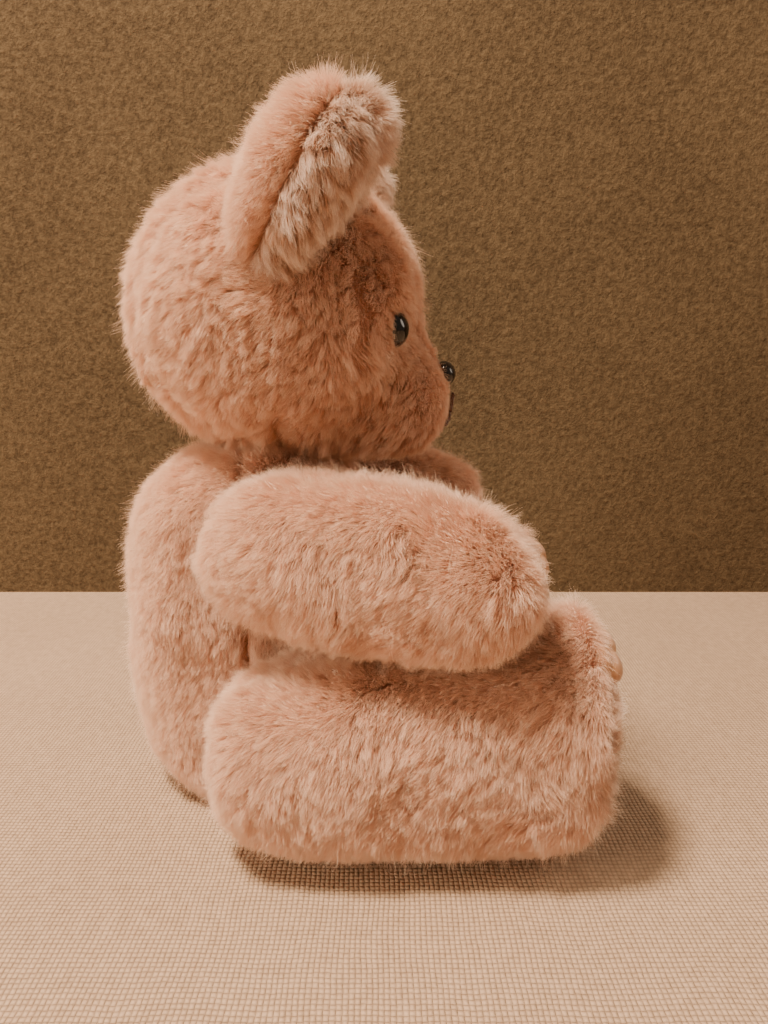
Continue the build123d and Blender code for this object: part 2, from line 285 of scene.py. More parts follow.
def tube(path: Array, radius: float, sides: int = 8, plies: int = 0, twist: float = 1.4) -> Faces:
    """A thread laid along a path.

    Args:
        path: centre points in mm.
        radius: thread radius in mm.
        sides: corners round the thread.
        plies: how many twisted plies bulge from it; none leaves it round.
        twist: turns of the plies per 10 mm.

    Returns:
        Vertices, face corners and face sizes.
    """
    ahead = unit(np.gradient(path, axis=0))
    up = np.array([0.3, 0.2, 1.0])
    across = unit(np.cross(ahead, up))
    over = np.cross(across, ahead)
    run = np.r_[0, np.cumsum(np.linalg.norm(np.diff(path, axis=0), axis=1))]
    angle = np.linspace(0, 2 * math.pi, sides, endpoint=False)
    turn = angle[None, :] + (run * twist * 2 * math.pi / 10)[:, None]
    ends = np.clip(np.minimum(run, run[-1] - run) / radius, 0, 1) ** 0.5
    reach = radius * ends[:, None] * (1 + (0.22 * np.cos(plies * angle)[None, :] if plies else 0))
    spokes = across[:, None] * np.cos(turn)[..., None] + over[:, None] * np.sin(turn)[..., None]
    rings = path[:, None] + spokes * reach[..., None]
    return Skin.from_rings(rings, path[0], path[-1]).faces()


def joined(name: str, pieces: Sequence[Faces]) -> bpy.types.Object:
    """One object from several loose shapes given as vertices, corners and sizes in mm."""
    offset, verts, corners, sizes = 0, [], [], []
    for v, c, s in pieces:
        verts.append(v)
        corners.append(c + offset)
        sizes.append(s)
        offset += len(v)
    return mesh_object(name, np.vstack(verts) * MM, np.concatenate(corners), np.concatenate(sizes))


# ---------------------------------------------------------------------------
# shading
# ---------------------------------------------------------------------------

class Nodes:
    """Short hand for building one node tree."""

    def __init__(self, tree: Tree) -> None:
        """Starts from an empty tree."""
        self.tree = tree
        tree.nodes.clear()

    def add(self, kind: str, inputs: dict | None = None, **props: object) -> bpy.types.Node:
        """One node, with its properties, and its inputs set or linked by name or number.

        Args:
            kind: node type without its prefix, such as TexNoise.
            inputs: socket name or number to a value or an output socket.
            **props: attributes of the node.

        Returns:
            The node.
        """
        name = kind if kind.startswith("NodeGroup") else "ShaderNode" + kind
        node = self.tree.nodes.new(name)
        for key, value in props.items():
            setattr(node, key, value)
        for key, value in (inputs or {}).items():
            socket = node.inputs[key]
            if isinstance(value, Socket):
                self.tree.links.new(value, socket)
            else:
                socket.default_value = value
        return node

    def maths(self, operation: str, a: object, b: object = 0.0, clamp: bool = False) -> Socket:
        """One sum on two values, returned as its output socket."""
        node = self.add("Math", {0: a, 1: b}, operation=operation, use_clamp=clamp)
        return node.outputs[0]

    def ramp(self, value: Socket, stops: Sequence[tuple[float, tuple]]) -> Socket:
        """Colours picked by a value."""
        node = self.add("ValToRGB", {0: value})
        band = node.color_ramp.elements
        while len(band) < len(stops):
            band.new(0.5)
        for element, (place, colour) in zip(band, stops):
            element.position = place
            element.color = (*colour[:3], 1.0)
        return node.outputs[0]

    def mixed(self, factor: object, a: object, b: object) -> Socket:
        """Two colours mixed by a factor."""
        node = self.add("Mix", data_type="RGBA")
        for socket, value in ((node.inputs[0], factor), (node.inputs[6], a), (node.inputs[7], b)):
            if isinstance(value, Socket):
                self.tree.links.new(value, socket)
            else:
                socket.default_value = (*value, 1.0) if isinstance(value, tuple) else value
        return node.outputs[2]

    def bump(self, height: Socket, strength: float, distance: float) -> Socket:
        """A normal bent by a height."""
        return self.add("Bump", {"Height": height, "Strength": strength, "Distance": distance}).outputs[0]


class Effects:
    """Surface effects that several materials share, each a node group made once."""

    def __init__(self) -> None:
        """Makes every group."""
        self.pile = self._pile()
        self.satin = self._satin()
        self.speckle = self._speckle()
        self.canvas = self._canvas()
        self.nap = self._nap()

    @staticmethod
    def _group(name: str, inputs: dict[str, float],
               outputs: Sequence[str]) -> tuple[Nodes, dict, bpy.types.Node, Tree]:
        """An empty group with float inputs and outputs, and object coordinates inside."""
        tree = bpy.data.node_groups.new(name, "ShaderNodeTree")
        for key, value in inputs.items():
            socket = tree.interface.new_socket(key, in_out="INPUT", socket_type="NodeSocketFloat")
            socket.default_value = value
        for key in outputs:
            tree.interface.new_socket(key, in_out="OUTPUT", socket_type="NodeSocketFloat")
        nodes = Nodes(tree)
        given = nodes.add("NodeGroupInput").outputs
        result = nodes.add("NodeGroupOutput")
        place = nodes.add("TexCoord").outputs["Object"]
        return nodes, {"place": place, **{k: given[k] for k in inputs}}, result, tree

    def _pile(self) -> Tree:
        """Mottled pile: broad brushed patches over fine roots."""
        sizes = {"Patch": 70.0, "Root": 900.0}
        nodes, given, result, tree = self._group("pile_mottle", sizes, ("Shade", "Height"))
        patch = nodes.add("TexNoise", {"Vector": given["place"], "Scale": given["Patch"],
                                       "Detail": 3.0, "Roughness": 0.55})
        root = nodes.add("TexNoise", {"Vector": given["place"], "Scale": given["Root"],
                                      "Detail": 2.0, "Roughness": 0.7})
        cells = nodes.add("TexVoronoi", {"Vector": given["place"], "Scale": given["Root"]})
        fine = nodes.maths("MULTIPLY", root.outputs[0], cells.outputs[0])
        broad = nodes.maths("MULTIPLY", patch.outputs[0], 0.75)
        shade = nodes.maths("ADD", broad, nodes.maths("MULTIPLY", fine, 0.5), True)
        nodes.tree.links.new(shade, result.inputs["Shade"])
        nodes.tree.links.new(fine, result.inputs["Height"])
        return tree

    def _satin(self) -> Tree:
        """Satin weave: long floats one way, with slow drifts of painted sheen in its shade."""
        nodes, given, result, tree = self._group("satin_weave", {"Threads": 1500.0}, ("Shade", "Height"))
        stretched = nodes.add("Mapping", {"Vector": given["place"], "Scale": (1.0, 0.4, 0.12)})
        threads = nodes.add("TexNoise", {"Vector": stretched.outputs[0], "Scale": given["Threads"],
                                         "Detail": 2.0})
        # Slow lighter and darker drifts in the colour: painted sheen, not a change in the satin's dye. The
        # stretched threads above are the real floats.
        painted_sheen_drift = nodes.add("TexNoise", {"Vector": given["place"], "Scale": 160.0, "Detail": 3.0})
        floats = nodes.maths("MULTIPLY", threads.outputs[0], 0.4)
        shade = nodes.maths("ADD", floats, nodes.maths("MULTIPLY", painted_sheen_drift.outputs[0], 0.6))
        nodes.tree.links.new(shade, result.inputs["Shade"])
        nodes.tree.links.new(threads.outputs[0], result.inputs["Height"])
        return tree

    def _speckle(self) -> Tree:
        """Handling marks on moulded pieces: fine scuffs and a faint flow."""
        nodes, given, result, tree = self._group("handled_moulding", {"Scuff": 1800.0}, ("Mask", "Height"))
        scuff = nodes.add("TexNoise", {"Vector": given["place"], "Scale": given["Scuff"],
                                       "Detail": 5.0, "Roughness": 0.75})
        flow = nodes.add("TexNoise", {"Vector": given["place"], "Scale": 120.0, "Detail": 2.0})
        mask = nodes.maths("MULTIPLY", scuff.outputs[0], flow.outputs[0])
        nodes.tree.links.new(mask, result.inputs["Mask"])
        nodes.tree.links.new(scuff.outputs[0], result.inputs["Height"])
        return tree

    def _canvas(self) -> Tree:
        """Plain canvas: warp over weft, with slubs and uneven yarn."""
        nodes, given, result, tree = self._group("canvas_weave", {"Pitch": 0.00127}, ("Shade", "Height"))
        wobble = nodes.add("TexNoise", {"Vector": given["place"], "Scale": 45.0, "Detail": 4.0})
        bent = nodes.add("VectorMath", {0: wobble.outputs["Color"], 1: (0.0022, 0.0022, 0.0)},
                         operation="MULTIPLY")
        moved = nodes.add("VectorMath", {0: given["place"], 1: bent.outputs[0]}, operation="ADD")
        axes = nodes.add("SeparateXYZ", {0: moved.outputs[0]})
        turns = nodes.maths("DIVIDE", math.pi, given["Pitch"])
        u = nodes.maths("MULTIPLY", axes.outputs[0], turns)
        v = nodes.maths("MULTIPLY", axes.outputs[1], turns)
        su, sv = nodes.maths("SINE", u), nodes.maths("SINE", v)
        warp_up = nodes.maths("GREATER_THAN", nodes.maths("MULTIPLY", su, sv), 0.0)
        warp, weft = nodes.maths("ABSOLUTE", su), nodes.maths("ABSOLUTE", sv)
        crown = []
        for across, along in ((warp, weft), (weft, warp)):
            bend = nodes.maths("ADD", nodes.maths("MULTIPLY", along, 0.45), 0.55)
            crown.append(nodes.maths("MULTIPLY", nodes.maths("POWER", across, 0.5), bend))
        picked = nodes.maths("MULTIPLY", warp_up, crown[0])
        weft_up = nodes.maths("SUBTRACT", 1.0, warp_up)
        weave = nodes.maths("ADD", picked, nodes.maths("MULTIPLY", weft_up, crown[1]))
        yarn = nodes.add("TexNoise", {"Vector": given["place"], "Scale": 900.0, "Detail": 3.0})
        slub = nodes.add("TexNoise", {"Vector": given["place"], "Scale": 300.0,
                                      "Detail": 4.0, "Roughness": 0.6})
        tint = nodes.add("TexNoise", {"Vector": given["place"], "Scale": 22.0, "Detail": 3.0})
        height = nodes.maths("ADD", weave, nodes.maths("MULTIPLY", yarn.outputs[0], 0.5))
        # The weave's height also sets its colour, crowns lighter and hollows darker: partly the real gaps
        # between the yarns, partly painted shade in the hollows.
        relief = nodes.maths("MULTIPLY", height, 0.42)
        body = nodes.maths("ADD", relief, nodes.maths("MULTIPLY", slub.outputs[0], 0.42))
        shade = nodes.maths("ADD", body, nodes.maths("MULTIPLY", tint.outputs[0], 0.12))
        nodes.tree.links.new(shade, result.inputs["Shade"])
        nodes.tree.links.new(height, result.inputs["Height"])
        return tree

    def _nap(self) -> Tree:
        """Brushed nap of a felted wall covering."""
        nodes, given, result, tree = self._group("brushed_nap", {"Nap": 420.0}, ("Shade", "Height"))
        fine = nodes.add("TexNoise", {"Vector": given["place"], "Scale": given["Nap"],
                                      "Detail": 4.0, "Roughness": 0.65})
        slow = nodes.add("TexNoise", {"Vector": given["place"], "Scale": 9.0, "Detail": 2.0})
        grain = nodes.maths("MULTIPLY", fine.outputs[0], 0.8)
        shade = nodes.maths("ADD", grain, nodes.maths("MULTIPLY", slow.outputs[0], 0.25))
        nodes.tree.links.new(shade, result.inputs["Shade"])
        nodes.tree.links.new(fine.outputs[0], result.inputs["Height"])
        return tree


@dataclass(frozen=True)
class Surface:
    """A finish whose colour and relief come from one shared effect."""

    name: str
    dark: tuple[float, float, float]
    light: tuple[float, float, float]
    roughness: float = 0.8
    relief: float = 0.4
    depth: float = 0.0004
    sheen: float = 0.0
    coat: float = 0.0
    specular: float = 0.3
    low: float = 0.25
    high: float = 0.75
    one_sided: bool = False

    def material(self, effect: Tree) -> bpy.types.Material:
        """The material, with the effect behind its colour, roughness and bump.

        Args:
            effect: a group with a shade or mask first and a height second.

        Returns:
            The new material.
        """
        made = bpy.data.materials.new(self.name)
        made.use_nodes = True
        nodes = Nodes(made.node_tree)
        group = nodes.add("Group")
        group.node_tree = effect
        shade, height = group.outputs[0], group.outputs[1]
        colour = nodes.ramp(shade, ((self.low, self.dark), (self.high, self.light)))
        rough = nodes.maths("ADD", nodes.maths("MULTIPLY", shade, 0.16), self.roughness - 0.08, True)
        shader = nodes.add("BsdfPrincipled", {
            "Base Color": colour,
            "Roughness": rough,
            "Normal": nodes.bump(height, self.relief, self.depth),
            "Specular IOR Level": self.specular,
            "Sheen Weight": self.sheen,
            "Sheen Roughness": 0.5,
            "Coat Weight": self.coat,
            "Coat Roughness": 0.08,
        })
        out = nodes.add("OutputMaterial")
        if self.one_sided:
            behind = nodes.add("NewGeometry").outputs["Backfacing"]
            clear = nodes.add("BsdfTransparent")
            shader = nodes.add("MixShader", {0: behind, 1: shader.outputs[0], 2: clear.outputs[0]})
        nodes.tree.links.new(shader.outputs[0], out.inputs[0])
        return made


@dataclass(frozen=True)
class TuftFinish:
    """The finish of one shade of spun tuft."""

    tone: Tone

    def material(self) -> bpy.types.Material:
        """The material of that shade."""
        made = bpy.data.materials.new("pile_" + self.tone.name.lower())
        made.use_nodes = True
        nodes = Nodes(made.node_tree)
        shader = nodes.add("BsdfPrincipled", {
            "Base Color": (*self.tone.value, 1.0),
            "Roughness": 0.82,
            "Specular IOR Level": 0.18,
            "Sheen Weight": 0.25,
            "Sheen Roughness": 0.45,
            "Sheen Tint": (1.0, 0.86, 0.76, 1.0),
        })
        out = nodes.add("OutputMaterial")
        nodes.tree.links.new(shader.outputs[0], out.inputs[0])
        return made


@dataclass(frozen=True)
class FibreFinish:
    """Loose surface fibres, deep at the root and pale at the tip."""

    name: str = "pile_fibre"
    root: tuple[float, float, float] = (0.67, 0.365, 0.235)
    middle: tuple[float, float, float] = (0.895, 0.595, 0.415)
    tip: tuple[float, float, float] = (0.98, 0.765, 0.59)
    light_through: float = 0.28

    def material(self) -> bpy.types.Material:
        """The material, graded along each fibre and varied between clumps."""
        made = bpy.data.materials.new(self.name)
        made.use_nodes = True
        nodes = Nodes(made.node_tree)
        along = nodes.add("HairInfo").outputs["Intercept"]
        tone = nodes.add("Attribute", attribute_name="tone").outputs["Fac"]
        graded = nodes.ramp(along, ((0.0, self.root), (0.5, self.middle), (1.0, self.tip)))
        darker = nodes.mixed(0.42, graded, self.root)
        colour = nodes.mixed(tone, darker, graded)
        shader = nodes.add("BsdfPrincipled", {
            "Base Color": colour,
            "Roughness": 0.58,
            "Specular IOR Level": 0.35,
        })
        glow = nodes.add("BsdfTranslucent", {"Color": colour})
        both = nodes.add("MixShader", {0: self.light_through, 1: shader.outputs[0], 2: glow.outputs[0]})
        out = nodes.add("OutputMaterial")
        nodes.tree.links.new(both.outputs[0], out.inputs[0])
        return made


@dataclass
class Finishes:
    """Every material of the toy and its stage."""

    effects: Effects = field(default_factory=Effects)

    def __post_init__(self) -> None:
        """Makes the materials."""
        fx = self.effects
        self.cloth = Surface("pile_cloth", (0.42, 0.215, 0.14), (0.72, 0.45, 0.33), 0.9, 0.6,
                             sheen=0.3).material(fx.pile)
        self.sole = Surface("sole_cloth", (0.40, 0.20, 0.13), (0.62, 0.37, 0.26), 0.88, 0.6,
                            sheen=0.3).material(fx.pile)
        self.fill = Surface("polyester_fill", (0.70, 0.69, 0.66), (0.88, 0.87, 0.84), 0.9,
                            0.7).material(fx.pile)
        # The satin pads, the mouth thread and the seam thread carry the satin group's painted sheen drifts
        # in their colour.
        self.satin = Surface("pad_satin", (0.34, 0.135, 0.050), (0.66, 0.33, 0.155), 0.34, 0.22, 0.0001,
                             sheen=0.15, coat=0.12, specular=0.5).material(fx.satin)
        self.eye = Surface("eye_button", (0.006, 0.004, 0.003), (0.016, 0.011, 0.009), 0.12, 0.03, 0.00004,
                           coat=0.45, specular=0.4).material(fx.speckle)
        self.nose = Surface("nose_button", (0.010, 0.007, 0.006), (0.022, 0.017, 0.015), 0.2, 0.08, 0.00006,
                            coat=0.4, specular=0.4).material(fx.speckle)
        self.joint = Surface("joint_moulding", (0.66, 0.65, 0.61), (0.80, 0.79, 0.75), 0.45, 0.12, 0.00008,
                             specular=0.45).material(fx.speckle)
        self.thread = Surface("mouth_thread", (0.075, 0.03, 0.018), (0.16, 0.075, 0.045), 0.75, 0.5, 0.0001,
                              sheen=0.2).material(fx.satin)
        self.seam_thread = Surface("seam_thread", (0.50, 0.27, 0.18), (0.68, 0.42, 0.30), 0.75, 0.5,
                                   0.0001).material(fx.satin)
        self.canvas = Surface("table_canvas", (0.25, 0.155, 0.092), (0.565, 0.375, 0.245), 0.92, 0.85,
                              0.0005, specular=0.15, low=0.3, high=0.85).material(fx.canvas)
        self.wall = Surface("wall_nap", (0.060, 0.038, 0.020), (0.158, 0.106, 0.058), 0.95, 0.7, 0.0012,
                            specular=0.1, low=0.35, high=0.75, one_sided=True).material(fx.nap)
        self.fibre = FibreFinish().material()
        # The fringe's deep root and darkened middle are painted shade, standing in for the shade on the
        # ear's front; its pale tips are the fibres' own colour.
        self.fringe = FibreFinish("fringe_fibre", (0.36, 0.19, 0.115), (0.80, 0.55, 0.40),
                                  (0.97, 0.82, 0.68)).material()
        self.tufts = [TuftFinish(tone).material() for tone in Tone]

    @staticmethod
    def dress(obj: bpy.types.Object, *materials: bpy.types.Material) -> None:
        """Puts materials on an object, in order."""
        obj.data.materials.clear()
        for made in materials:
            obj.data.materials.append(made)


# ---------------------------------------------------------------------------
# pile
# ---------------------------------------------------------------------------

@dataclass(frozen=True)
class Pile:
    """How the pile stands on one piece of cloth, in mm."""

    height: float = 4.0
    lean: float = 2.0
    comb: tuple[float, float, float] = (0.0, 0.3, -1.0)
    swirl: float = 0.5
    clump: float = 2.8
    pull: float = 0.32
    stray: float = 0.4
    fibres: float = 15.0
    tufts: float = 0.85
    fibre_radius: float = 0.036
    tuft_radius: float = 0.36
    loose: float = 1.3

    def guard(self) -> "Pile":
        """The sparse longer fibres that stand out of this pile."""
        return replace(self, height=self.height * 1.3, lean=self.lean * 1.25, pull=0.0, stray=1.1)


@dataclass
class Grower:
    """Grows pile out of a skin, as fine loose fibres and as solid tufts."""

    finishes: Finishes
    floor: float = 0.25

    def strands(self, skin: Skin, pile: Pile, per_mm2: float, seed: int, steps: int,
                shorten: Field | None, seam: Field | None) -> tuple[Array, Array]:
        """Curved strands rooted on the skin.

        Args:
            skin: the cloth they grow from.
            pile: how they stand.
            per_mm2: how many.
            seed: fixes the result.
            steps: points to a strand.
            shorten: height factor at each point, or none.
            seam: signed distance to the nearest seam in mm, or none.

        Returns:
            Positions as strands, steps and XYZ, and a shade from 0 to 1 for each strand.
        """
        rng = np.random.default_rng(seed)
        root, normal = skin.scattered(per_mm2, rng)
        count = len(root)
        factor = shorten(root) if shorten else np.ones(count)
        comb = np.array(pile.comb)[None, :] + pile.swirl * np.stack(
            [waves(root, 26.0, seed + k) for k in range(3)], axis=1)
        lay = comb - normal * np.einsum("ij,ij->i", comb, normal)[:, None]
        lay /= np.maximum(np.linalg.norm(lay, axis=1, keepdims=True), 0.35)
        warp = np.stack([waves(root, 9.0, seed + 11 + k) for k in range(3)], axis=1)
        cells = np.floor((root + warp * pile.clump * 0.45) / pile.clump).astype(np.int64)
        key = (cells[:, 0] * 73856093) ^ (cells[:, 1] * 19349663) ^ (cells[:, 2] * 83492791)
        _, group = np.unique(key, return_inverse=True)
        size = np.bincount(group).astype(float)
        heart = np.stack([np.bincount(group, root[:, k]) / size for k in range(3)], axis=1)
        clumps = len(size)
        throw = rng.normal(size=(clumps, 3)) * pile.stray
        rise = rng.uniform(0.86, 1.12, clumps)
        tone = rng.uniform(0.3, 1.0, clumps)
        height = pile.height * factor * rise[group] * rng.uniform(0.82, 1.08, count)
        reach = lay * (pile.lean * factor)[:, None] + throw[group] * factor[:, None]
        reach += rng.normal(size=(count, 3)) * 0.55 * factor[:, None]
        if seam is not None:
            step = 0.4
            gap = seam(root)
            slope = np.stack([seam(root + step * axis) - seam(root - step * axis)
                              for axis in np.eye(3)], axis=1)
            near = np.exp(-(gap / 2.6) ** 2)
            reach += unit(slope) * (np.sign(gap) * near * 1.9)[:, None]
            height = height * (1 - 0.34 * near)
        tip = root + normal * height[:, None] + reach
        pulled = (heart[group] + normal * height[:, None] * 1.04
                  + lay * (pile.lean * factor)[:, None] + throw[group] * factor[:, None])
        share = pile.pull * rng.uniform(0.5, 1.0, count)[:, None]
        tip = tip * (1 - share) + pulled * share
        waist = root + normal * (height * 0.62)[:, None] + reach * 0.14
        t = np.linspace(0, 1, steps)[None, :, None]
        line = (1 - t) ** 2 * root[:, None] + 2 * t * (1 - t) * waist[:, None] + t**2 * tip[:, None]
        rest = self.floor + 0.15 * rng.random((count, 1))
        line[..., 2] = np.where(line[..., 2] < self.floor, rest, line[..., 2])
        shade = np.clip(tone[group] + rng.normal(size=count) * 0.16, 0, 1)
        return line, shade

    def fibres(self, name: str, body: str, line: Array, shade: Array, radius: float,
               material: bpy.types.Material) -> bpy.types.Object:
        """Fine loose fibres as hair strands.

        Args:
            name: the object's name.
            body: the body it rides on.
            line: strands, steps and XYZ in mm.
            shade: one value for each strand.
            radius: fibre radius in mm at the root.
            material: its finish.

        Returns:
            The object.
        """
        count, steps = line.shape[:2]
        data = bpy.data.hair_curves.new(name)
        data.add_curves([steps] * count)
        places = np.ascontiguousarray(line * MM, np.float32)
        data.attributes["position"].data.foreach_set("vector", places.ravel())
        taper = np.linspace(1.0, 0.35, steps)[None, :] * np.full((count, 1), radius * MM)
        wide = data.attributes.get("radius") or data.attributes.new("radius", "FLOAT", "POINT")
        wide.data.foreach_set("value", taper.astype(np.float32).ravel())
        tone = data.attributes.new("tone", "FLOAT", "CURVE")
        tone.data.foreach_set("value", shade.astype(np.float32))
        data.materials.append(material)
        obj = bpy.data.objects.new(name, data)
        bpy.context.scene.collection.objects.link(obj)
        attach(obj, body)
        return obj

    def tufts(self, name: str, body: str, line: Array, shade: Array, radius: float) -> bpy.types.Object:
        """Solid tapering tufts, three-sided, in four shades.

        Args:
            name: the object's name.
            body: the body it rides on.
            line: strands, three steps and XYZ in mm.
            shade: one value for each tuft, which picks its tone.
            radius: half width in mm at the root.

        Returns:
            The object.
        """
        count = len(line)
        ahead = unit(line[:, 2] - line[:, 0])
        across = unit(np.cross(ahead, np.array([0.31, 0.57, 0.76])))
        over = np.cross(ahead, across)
        verts = []
        for step, width in ((0, 1.0), (1, 0.72)):
            for corner in range(3):
                a = corner * 2 * math.pi / 3
                verts.append(line[:, step] + (across * math.cos(a) + over * math.sin(a)) * radius * width)
        verts.append(line[:, 2])
        verts = np.stack(verts, axis=1)
        quads = np.array([[0, 1, 4, 3], [1, 2, 5, 4], [2, 0, 3, 5]])
        tips = np.array([[3, 4, 6], [4, 5, 6], [5, 3, 6]])
        base = np.arange(count)[:, None, None] * 7
        corners = np.concatenate([(quads[None] + base).reshape(count, -1),
                                  (tips[None] + base).reshape(count, -1)], axis=1)
        sizes = np.tile(np.array([4, 4, 4, 3, 3, 3]), count)
        obj = mesh_object(name, verts.reshape(-1, 3) * MM, corners.ravel(), sizes)
        Finishes.dress(obj, *self.finishes.tufts)
        tone = np.clip((shade * 4).astype(np.int32), 0, 3)
        obj.data.polygons.foreach_set("material_index", np.repeat(tone, 6).astype(np.int32))
        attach(obj, body)
        return obj

    def cover(self, name: str, body: str, skin: Skin, pile: Pile, seed: int, shorten: Field | None = None,
              seam: Field | None = None, fringe: bool = False) -> None:
        """Covers a skin with tufts and with loose fibres over them.

        Args:
            name: stem of the pieces' names.
            body: the body they ride on.
            skin: the cloth.
            pile: how the pile stands.
            seed: fixes the result.
            shorten: height factor over the skin.
            seam: signed distance to the nearest seam.
            fringe: whether the fibres are the fringe kind: pale tips, with roots darkened as painted shade.
        """
        thin = 1.0
        line, shade = self.strands(skin, pile, pile.tufts, seed, 3, shorten, seam)
        line[:, 1:] = line[:, :1] + (line[:, 1:] - line[:, :1]) * 0.62
        self.tufts(name + "_tufts", body, line, shade, pile.tuft_radius)
        line, shade = self.strands(skin, pile, pile.fibres * thin, seed, 5, shorten, seam)
        finish = self.finishes.fringe if fringe else self.finishes.fibre
        self.fibres(name + "_fibres", body, line, shade, pile.fibre_radius / math.sqrt(thin), finish)
        line, shade = self.strands(skin, pile.guard(), pile.loose * thin, seed + 400, 6, shorten, seam)
        self.fibres(name + "_guard", body, line, shade, pile.fibre_radius * 0.7, finish)


# ---------------------------------------------------------------------------
# the toy
# ---------------------------------------------------------------------------

@dataclass
class Workshop:
    """What every sub-assembly needs to make its pieces."""

    finishes: Finishes
    grower: Grower
    made: list[str] = field(default_factory=list)

    def panel(self, skin: Skin, name: str, body: str, node: str, keep: Array | None = None,
              material: bpy.types.Material | None = None) -> bpy.types.Object:
        """One cloth panel that stands for a CAD node.

        Args:
            skin: the sewn surface it is part of.
            name: the piece's name.
            body: the body it rides on.
            node: the CAD node it replaces.
            keep: which faces belong to it.
            material: its finish, the pile cloth if none is given.

        Returns:
            The object.
        """
        obj = skin.mesh(name, keep)
        Finishes.dress(obj, material or self.finishes.cloth)
        self.settle(obj, body, (node,))
        return obj

    def settle(self, obj: bpy.types.Object, body: str, nodes: Sequence[str] = ()) -> None:
        """Says what a piece rides on and the nodes it stands for."""
        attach(obj, body)
        if nodes:
            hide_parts(*nodes)
        self.made.append(obj.name)

    def filling(self, skin: Skin, name: str, body: str, node: str, seed: int) -> None:
        """Lumpy fibre filling inside a skin, standing for its CAD node."""
        lumps = -2.2 + 0.7 * waves(skin.verts, 11.0, seed)
        obj = skin.moved(lumps).mesh(name)
        Finishes.dress(obj, self.finishes.fill)
        self.settle(obj, body, (node,))


def grooved(skin: Skin, seam: Field, depth: float = 1.1, width: float = 2.4) -> Skin:
    """A skin pulled in along its seams."""
    return skin.moved(-depth * np.exp(-(seam(skin.verts) / width) ** 2))


def lumpy(skin: Skin, size: float, wavelength: float, seed: int) -> Skin:
    """A skin with the soft unevenness of its filling."""
    return skin.moved(size * waves(skin.verts, wavelength, seed))


@dataclass
class Torso:
    """The body: four panels, their filling and the tail."""

    flank: float = 25.0
    neck: float = 105.0
    side_seam_y: float = 31.0
    tail_growth: tuple = (0.3, 1.0, 0.3)
    stations: tuple = (
        (0.0, 31.0, 0.0, 0.0), (0.0, 31.0, 19.0, 20.0), (6.0, 31.0, 29.0, 26.0),
        (20.0, 31.0, 35.0, 31.0), (45.0, 31.0, 36.5, 32.0), (68.0, 31.5, 35.0, 31.5),
        (86.0, 31.5, 32.0, 30.0), (98.0, 30.0, 25.0, 23.0), (105.0, 26.5, 14.0, 14.0),
        (105.0, 26.5, 0.0, 0.0),
    )
    pile: Pile = Pile(comb=(0.0, 0.25, -1.0), height=3.5, lean=2.0, pull=0.22, stray=0.25)

    def seam(self, p: Array) -> Array:
        """Signed distance to the centre seam or the side seams, whichever is nearer."""
        middle, side = p[:, 0], p[:, 1] - self.side_seam_y
        return np.where(np.abs(middle) < np.abs(side), middle, side)

    def skin(self) -> Skin:
        """The pear-shaped casing."""
        path = smooth_path(self.stations, 96)
        angle = np.linspace(0, 2 * math.pi, 132, endpoint=False)
        x = path[:, 3:4] * np.cos(angle)
        x = np.sign(x) * -soft_floor(-np.abs(x), -self.flank, 1.2)
        y = path[:, 1:2] + path[:, 2:3] * np.sin(angle)
        z = np.broadcast_to(np.clip(path[:, :1], 0, self.neck), x.shape)
        rings = np.stack([x, y, z], axis=-1)[1:-1]
        skin = Skin.from_rings(rings, rings[0].mean(axis=0), rings[-1].mean(axis=0))
        skin = grooved(lumpy(skin, 0.45, 24.0, 5), self.seam, 0.9)
        skin.verts[:, 2] = np.maximum(skin.verts[:, 2], 0.3)
        return skin

    def build(self, shop: Workshop) -> None:
        """Makes the body's pieces."""
        skin = self.skin()
        centre = skin.face_centres()
        for side in Side:
            for front in (True, False):
                keep = (centre[:, 0] * side.value > 0) & ((centre[:, 1] < self.side_seam_y) == front)
                word = ("front_" if front else "back_") + side.word
                shop.panel(skin, "torso_" + word, "body", "body_" + word, keep)
        shop.filling(skin, "torso_filling", "body", "body_stuffing", 3)
        shop.grower.cover("torso", "body", skin, self.pile, 21, seam=self.seam)
        self.tail(shop)

    def tail(self, shop: Workshop) -> None:
        """The short flat tail low on the back."""
        low, high = (np.array(c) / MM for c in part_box("tail"))
        centre, half = (low + high) / 2, (high - low) / 2 + np.array(self.tail_growth)
        u = np.linspace(0.08, math.pi - 0.08, 14)[:, None]
        v = np.linspace(0, 2 * math.pi, 22, endpoint=False)[None, :]
        rings = centre + globe(u, v) * half
        skin = lumpy(Skin.from_rings(rings, rings[0].mean(axis=0), rings[-1].mean(axis=0)), 0.3, 5.0, 8)
        obj = skin.mesh("tail_cloth")
        Finishes.dress(obj, shop.finishes.cloth)
        shop.settle(obj, "body", ("tail",))
        shop.grower.cover("tail", "body", skin, Pile(height=3.0, lean=2.2, fibres=16.0, tufts=1.6), 27,
                          fringe=True)


